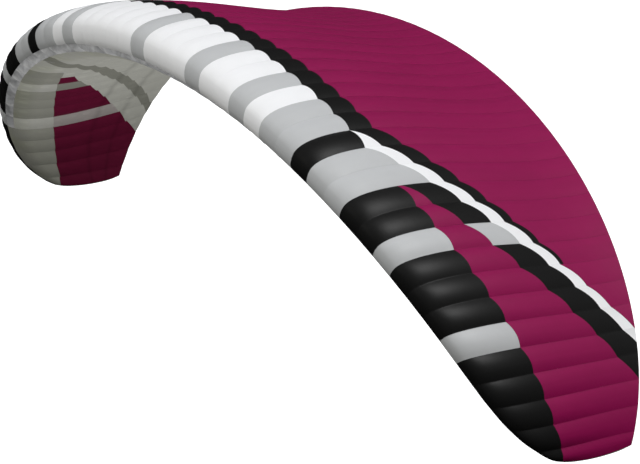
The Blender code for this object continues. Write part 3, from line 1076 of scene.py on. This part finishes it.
def cloth_material(name, colour, groups):
    """Coated ripstop nylon in one colour, with its weave, seams, stitches and uneven tone.

    Its glow is painted light that stands for the daylight coming through the thin cloth.
    """
    glow, crease_shade, billow, uneven, thread = CLOTH_LOOKS[name]
    material = bpy.data.materials.new(name)
    material.use_nodes = True
    tree = material.node_tree
    shader = tree.nodes["Principled BSDF"]
    shader.inputs["Roughness"].default_value = CLOTH_ROUGHNESS
    shader.inputs["Specular IOR Level"].default_value = CLOTH_GLOSS
    shader.inputs["Emission Strength"].default_value = glow
    maths = Maths(tree)
    place = tree.nodes.new("ShaderNodeUVMap")
    place.uv_map = "cloth"

    def grouped(key, **values):
        node = tree.nodes.new("ShaderNodeGroup")
        node.node_tree = groups[key]
        tree.links.new(place.outputs["UV"], node.inputs["Cloth"])
        for label, value in values.items():
            socket = node.inputs[label.replace("_", " ")]
            if isinstance(value, float):
                socket.default_value = value
            else:
                tree.links.new(value, socket)
        return node.outputs

    to_wall = value_of(tree, "to_wall")
    to_edge = value_of(tree, "to_edge")
    daylight = value_of(tree, "daylight")
    patchy = name in PATCHY_CLOTHS
    weave = grouped("weave", Grid=WEAVE_GRID)
    seam = grouped(
        "seam", To_Wall=to_wall, To_Edge=to_edge, Welt=WELT, Stitch=STITCH, Billow=billow
    )
    tone = grouped(
        "tone",
        Amount=uneven,
        Fineness=PATCHY_SCALE if patchy else CRUMPLE_SCALE,
        Patchy=PATCHY_AMOUNT if patchy else 0.0,
    )
    # Painted shade in the creases of the seams.
    crease_shaded = maths("SUBTRACT", 1.0, maths("MULTIPLY", seam["Crease"], crease_shade))
    shade = maths("MULTIPLY", tone["Tone"], crease_shaded)
    colour_in = colour
    # Painted shade: the film darkens towards the tips, where less daylight reaches it.
    if name == "film":
        shade = maths("MULTIPLY", shade, daylight)
    if name.startswith("underside"):
        share = value_of(tree, "share")
        through = grouped("see_through", To_Wall=to_wall, Share=share, Daylight=daylight)
        # Painted shadows of the straps and behind the lip, and painted light at the holes.
        shade = maths("MULTIPLY", shade, through["Shade"])
        warm = tuple(tint * part for tint, part in zip(TINT, colour))
        colour_in = mix(tree, "MIX", through["Tint"], colour, warm)
    toned = mix(tree, "MULTIPLY", 1.0, colour_in, shade)
    thread_colour = tuple(min(1.0, thread * part) for part in colour)
    stitched = mix(tree, "MIX", seam["Stitches"], toned, thread_colour)
    tree.links.new(stitched, shader.inputs["Base Color"])
    # The underside's painted glow, standing for the daylight that comes through it.
    if name.startswith("underside"):
        lit = mix(tree, "MIX", through["Glow"], (0.0, 0.0, 0.0), stitched)
        tree.links.new(lit, shader.inputs["Emission Color"])
    # The other cloths that glow get painted light too, standing for daylight through the thin
    # cloth.
    elif glow > 0.0:
        tree.links.new(stitched, shader.inputs["Emission Color"])
    woven = maths("ADD", seam["Height"], maths("MULTIPLY", weave["Height"], WEAVE_HEIGHT))
    bump = tree.nodes.new("ShaderNodeBump")
    bump.inputs["Strength"].default_value = BUMP_STRENGTH
    bump.inputs["Distance"].default_value = MILLIMETRE
    tree.links.new(maths("ADD", woven, tone["Crumple"]), bump.inputs["Height"])
    tree.links.new(bump.outputs["Normal"], shader.inputs["Normal"])


# ---------------------------------------------------------------- settings


class WingSizes(PropertyGroup):
    """The sizes that shape the cloth."""

    half_span: FloatProperty(
        name="Half span",
        description="Along the cloth, from the middle wall to the tip",
        default=5.60,
        unit="LENGTH",
    )
    centre_chord: FloatProperty(
        name="Middle chord",
        description="From the leading to the trailing edge",
        default=2.91,
        unit="LENGTH",
    )
    swell: FloatProperty(
        name="Swell",
        description="Height of a cell between its walls, as a share of its width",
        default=0.096,
    )
    seam_bow: FloatProperty(
        name="Seam bow",
        description="How far a colour seam bows back across a cell, in chords",
        default=0.014,
    )
    cloth: FloatProperty(
        name="Cloth", description="Thickness of the cloth", default=0.001, unit="LENGTH"
    )


def cloth_colour(name, description, default):
    """The setting of one cloth's colour."""
    return FloatVectorProperty(
        name=name, description=description, subtype="COLOR", default=default
    )


class WingColours(PropertyGroup):
    """The colours of the cloths."""

    white: cloth_colour("White", "Nose blocks and stripe", (0.86, 0.865, 0.88))
    light_grey: cloth_colour("Light grey", "Nose blocks", (0.50, 0.51, 0.52))
    black: cloth_colour("Black", "Nose blocks and bands", (0.0085, 0.0085, 0.0085))
    magenta: cloth_colour("Magenta", "Rear panel", (0.265, 0.0035, 0.074))
    magenta_tip: cloth_colour("Magenta of the tips", "Tip panels", (0.265, 0.0035, 0.074))
    # The underside's colours are set darker than its cloths, as painted shade, and its painted glow
    # lifts them again.
    underside_grey: cloth_colour(
        "Underside grey", "Most of the underside", (0.40, 0.40, 0.365)
    )
    underside_dark: cloth_colour(
        "Underside dark", "Stripes of the underside", (0.19, 0.19, 0.165)
    )
    underside_light: cloth_colour(
        "Underside light", "Light cells of the underside", (0.58, 0.58, 0.54)
    )
    # The tips' magenta, darker on the underside: real magenta with painted shade.
    underside_magenta: cloth_colour(
        "Underside magenta", "Tip panels of the underside", (0.13, 0.0085, 0.034)
    )
    # A darker copy of the underside grey: painted shade behind the outer mouths.
    underside_front: cloth_colour(
        "Underside front", "Behind the outer mouths", (0.30, 0.30, 0.265)
    )
    underside_pale: cloth_colour(
        "Underside pale", "Light cell over the tip panels", (0.46, 0.42, 0.41)
    )
    walls: cloth_colour("Walls", "Cell walls", (0.70, 0.71, 0.74))
    film: cloth_colour("Film", "Stiff film on the noses of the walls", (0.53, 0.53, 0.525))
    lining: cloth_colour("Lining", "Inner face of the cloths", (0.48, 0.48, 0.485))


class WingStage(PropertyGroup):
    """Camera and ground."""

    aim: FloatVectorProperty(
        name="Aim",
        description="Where the camera looks",
        subtype="TRANSLATION",
        default=(0.5887, 0.7522, -1.4968),
    )
    azimuth: FloatProperty(
        name="Azimuth",
        description="Turn of the camera about +Z",
        subtype="ANGLE",
        default=math.radians(55.7229),
    )
    elevation: FloatProperty(
        name="Elevation",
        description="Height of the camera",
        subtype="ANGLE",
        default=math.radians(17.4545),
    )
    roll: FloatProperty(
        name="Roll",
        description="Roll of the camera",
        subtype="ANGLE",
        default=math.radians(2.7435),
    )
    distance: FloatProperty(
        name="Distance",
        description="From the aim to the camera",
        default=24.4205,
        unit="LENGTH",
    )
    lens: FloatProperty(
        name="Lens", description="Focal length in millimetres", default=146.084
    )
    ground: FloatProperty(
        name="Ground", description="Height of the ground", default=-7.5, unit="LENGTH"
    )


class Paraglider(PropertyGroup):
    """All the settings of the wing."""

    sizes: PointerProperty(type=WingSizes)
    colours: PointerProperty(type=WingColours)
    stage: PointerProperty(type=WingStage)


# ---------------------------------------------------------------- operators


class PARAGLIDER_OT_cloths(Operator):
    """Makes the material of every cloth"""

    bl_idname = "paraglider.cloths"
    bl_label = "Cloth materials"

    def execute(self, context):
        groups = {
            "weave": make_weave_group(),
            "seam": make_seam_group(),
            "tone": make_tone_group(),
            "see_through": make_see_through_group(),
        }
        colours = context.scene.paraglider.colours
        for name in CLOTH_LOOKS:
            cloth_material(name, tuple(getattr(colours, name)), groups)
        return {"FINISHED"}


class PARAGLIDER_OT_nose_panels(Operator):
    """Adds the nose panels, cell by cell in white, grey and black"""

    bl_idname = "paraglider.nose_panels"
    bl_label = "Nose panels"

    def execute(self, context):
        wing = Wing(context.scene.paraglider.sizes)
        left = nose_strip(wing, LEFT, NOSE_BLOCKS_LEFT)
        right = nose_strip(wing, RIGHT, NOSE_BLOCKS_RIGHT)
        piece_from(wing, "nose_panels", left + right)
        return {"FINISHED"}


class PARAGLIDER_OT_front_band(Operator):
    """Adds the black band behind the nose"""

    bl_idname = "paraglider.front_band"
    bl_label = "Front band"

    def execute(self, context):
        wing = Wing(context.scene.paraglider.sizes)

        def colour_of(cell):
            return "black" if cell < BAND_LAST_CELL else "magenta"

        def half(hand):
            return cloth_strip(wing, BAND_CELLS, hand, BAND_START, BAND_END, colour_of)

        piece_from(wing, "front_band", both_halves(half))
        return {"FINISHED"}


class PARAGLIDER_OT_rear_panel(Operator):
    """Adds the magenta rear panel"""

    bl_idname = "paraglider.rear_panel"
    bl_label = "Rear panel"

    def execute(self, context):
        wing = Wing(context.scene.paraglider.sizes)

        def half(hand):
            return cloth_strip(
                wing, REAR_CELLS, hand, REAR_START, TRAILING_EDGE, lambda cell: "magenta"
            )

        piece_from(wing, "rear_panel", both_halves(half))
        return {"FINISHED"}


class PARAGLIDER_OT_stripes(Operator):
    """Adds the white stripe of each half"""

    bl_idname = "paraglider.stripes"
    bl_label = "Stripes"

    def execute(self, context):
        wing = Wing(context.scene.paraglider.sizes)
        for name, hand in (("stripe_left", LEFT), ("stripe_right", RIGHT)):
            patches = cloth_strip(
                wing, STRIPE_CELLS, hand, STRIPE_START, STRIPE_END, lambda cell: "white"
            )
            piece_from(wing, name, patches)
        return {"FINISHED"}


class PARAGLIDER_OT_outer_bands(Operator):
    """Adds the black outer band of each half, with its grey block"""

    bl_idname = "paraglider.outer_bands"
    bl_label = "Outer bands"

    def execute(self, context):
        wing = Wing(context.scene.paraglider.sizes)

        def colour_of(cell):
            return "light_grey" if cell == GREY_CELL else "black"

        for name, hand in (("outer_band_left", LEFT), ("outer_band_right", RIGHT)):
            patches = cloth_strip(
                wing, OUTER_BAND_CELLS, hand, TIP_PANEL_END, STRIPE_START, colour_of
            )
            piece_from(wing, name, patches)
        return {"FINISHED"}


class PARAGLIDER_OT_tip_panels(Operator):
    """Adds the magenta tip panel of each half"""

    bl_idname = "paraglider.tip_panels"
    bl_label = "Tip panels"

    def execute(self, context):
        wing = Wing(context.scene.paraglider.sizes)
        for name, hand in (("tip_panel_left", LEFT), ("tip_panel_right", RIGHT)):
            patches = cloth_strip(
                wing, TIP_PANEL_CELLS, hand, NOSE_END, TIP_PANEL_END, lambda cell: "magenta_tip"
            )
            piece_from(wing, name, patches)
        return {"FINISHED"}


class PARAGLIDER_OT_underside(Operator):
    """Adds the underside, open at the mouths, and the panels that close the tips"""

    bl_idname = "paraglider.underside"
    bl_label = "Underside"

    def execute(self, context):
        wing = Wing(context.scene.paraglider.sizes)
        patches = both_halves(lambda hand: underside_strip(wing, hand))
        piece_from(wing, "underside", patches, tip_walls(wing))
        return {"FINISHED"}


class PARAGLIDER_OT_cell_walls(Operator):
    """Adds the flat cell walls, with clear film on their noses"""

    bl_idname = "paraglider.cell_walls"
    bl_label = "Cell walls"

    def execute(self, context):
        wing = Wing(context.scene.paraglider.sizes)
        add_wall(wing, "rib_00", 0)
        for number in range(1, RIBS_PER_SIDE):
            add_wall(wing, f"rib_left_{number:02d}", number)
            add_wall(wing, f"rib_right_{number:02d}", -number)
        return {"FINISHED"}


class PARAGLIDER_OT_stage(Operator):
    """Sets the pale ground, the soft lights and the camera"""

    bl_idname = "paraglider.stage"
    bl_label = "Stage"

    def execute(self, context):
        stage = context.scene.paraglider.stage
        add_ground(stage)
        add_lights()
        add_camera(context, stage)
        return {"FINISHED"}


def add_ground(stage):
    """A pale floor that lights nothing and is clear from below."""
    bpy.ops.mesh.primitive_plane_add(size=GROUND_SIZE, location=(0.0, 0.0, stage.ground))
    ground = bpy.context.object
    ground.name = "ground"
    material = bpy.data.materials.new("pale_ground")
    material.use_nodes = True
    tree = material.node_tree
    shader = tree.nodes["Principled BSDF"]
    shader.inputs["Base Color"].default_value = GROUND_COLOUR
    shader.inputs["Roughness"].default_value = 1.0
    shader.inputs["Emission Color"].default_value = WHITE_LIGHT
    shader.inputs["Emission Strength"].default_value = GROUND_GLOW
    side = tree.nodes.new("ShaderNodeNewGeometry")
    clear = tree.nodes.new("ShaderNodeBsdfTransparent")
    both = tree.nodes.new("ShaderNodeMixShader")
    tree.links.new(side.outputs["Backfacing"], both.inputs["Fac"])
    tree.links.new(shader.outputs[0], both.inputs[1])
    tree.links.new(clear.outputs[0], both.inputs[2])
    tree.links.new(both.outputs[0], tree.nodes["Material Output"].inputs["Surface"])
    ground.data.materials.append(material)
    ground.visible_diffuse = False
    ground.visible_glossy = False


def add_lights():
    """A soft dome over a dim ground, a broad key lamp, a fill, and a lamp that is only sheen."""
    world = bpy.data.worlds.new("studio")
    world.use_nodes = True
    bpy.context.scene.world = world
    world.cycles_visibility.glossy = False
    tree = world.node_tree
    place = tree.nodes.new("ShaderNodeTexCoord")
    height = parted(tree, place.outputs["Generated"])["Z"]
    ramp = tree.nodes.new("ShaderNodeValToRGB")
    tree.links.new(Maths(tree)("MULTIPLY_ADD", height, 0.5, 0.5), ramp.inputs["Fac"])
    tree.links.new(ramp.outputs["Color"], tree.nodes["Background"].inputs["Color"])
    stops = ramp.color_ramp.elements
    stops[0].position, stops[0].color = DOME_BELOW
    stops[1].position, stops[1].color = DOME_ABOVE
    stops.new(DOME_HORIZON[0]).color = DOME_HORIZON[1]
    add_lamp("key", *KEY_LAMP)
    add_lamp("fill", *FILL_LAMP).data.color = FILL_COLOUR
    add_lamp("sheen", *SHEEN_LAMP).visible_diffuse = False


def add_lamp(name, size, power, place):
    lamp = bpy.data.lights.new(name, "AREA")
    lamp.shape = "DISK"
    lamp.size = size
    lamp.energy = power
    holder = bpy.data.objects.new(name, lamp)
    holder.location = place
    holder.rotation_euler = (LAMP_AIM - holder.location).to_track_quat("-Z", "Y").to_euler()
    bpy.context.scene.collection.objects.link(holder)
    return holder


def add_camera(context, stage):
    turn = stage.azimuth
    lift = stage.elevation
    right = Vector((math.cos(turn), math.sin(turn), 0.0))
    level = Vector((math.sin(turn), -math.cos(turn), 0.0))
    away = level * math.cos(lift) + Vector((0.0, 0.0, math.sin(lift)))
    up = away.cross(right)
    rolled_right = right * math.cos(stage.roll) + up * math.sin(stage.roll)
    rolled_up = up * math.cos(stage.roll) - right * math.sin(stage.roll)
    lens = bpy.data.cameras.new("camera")
    lens.lens = stage.lens
    lens.sensor_width = SENSOR_WIDTH
    lens.clip_end = CLIP_END
    camera = bpy.data.objects.new("camera", lens)
    axes = Matrix((rolled_right, rolled_up, away)).transposed().to_4x4()
    camera.matrix_world = Matrix.Translation(Vector(stage.aim) + away * stage.distance) @ axes
    context.scene.collection.objects.link(camera)
    context.scene.camera = camera


class PARAGLIDER_PT_panel(Panel):
    """The wing's settings and steps"""

    bl_label = "Paraglider wing"
    bl_idname = "PARAGLIDER_PT_panel"
    bl_space_type = "VIEW_3D"
    bl_region_type = "UI"
    bl_category = "Wing"

    def draw(self, context):
        settings = context.scene.paraglider
        for group in (settings.sizes, settings.colours, settings.stage):
            box = self.layout.box()
            for name in group.__annotations__:
                box.prop(group, name)
        for step in STEPS:
            self.layout.operator(step.bl_idname)


STEPS = (
    PARAGLIDER_OT_cloths,
    PARAGLIDER_OT_nose_panels,
    PARAGLIDER_OT_front_band,
    PARAGLIDER_OT_rear_panel,
    PARAGLIDER_OT_stripes,
    PARAGLIDER_OT_outer_bands,
    PARAGLIDER_OT_tip_panels,
    PARAGLIDER_OT_underside,
    PARAGLIDER_OT_cell_walls,
    PARAGLIDER_OT_stage,
)
CLASSES = (WingSizes, WingColours, WingStage, Paraglider, *STEPS, PARAGLIDER_PT_panel)


def register():
    for kind in CLASSES:
        bpy.utils.register_class(kind)
    bpy.types.Scene.paraglider = PointerProperty(type=Paraglider)


def unregister():
    del bpy.types.Scene.paraglider
    for kind in reversed(CLASSES):
        bpy.utils.unregister_class(kind)


def main():
    register()
    bpy.context.scene.view_settings.view_transform = "Standard"
    for step in STEPS:
        name = step.bl_idname.split(".")[1]
        getattr(bpy.ops.paraglider, name)()


if __name__ == "__main__":
    main()
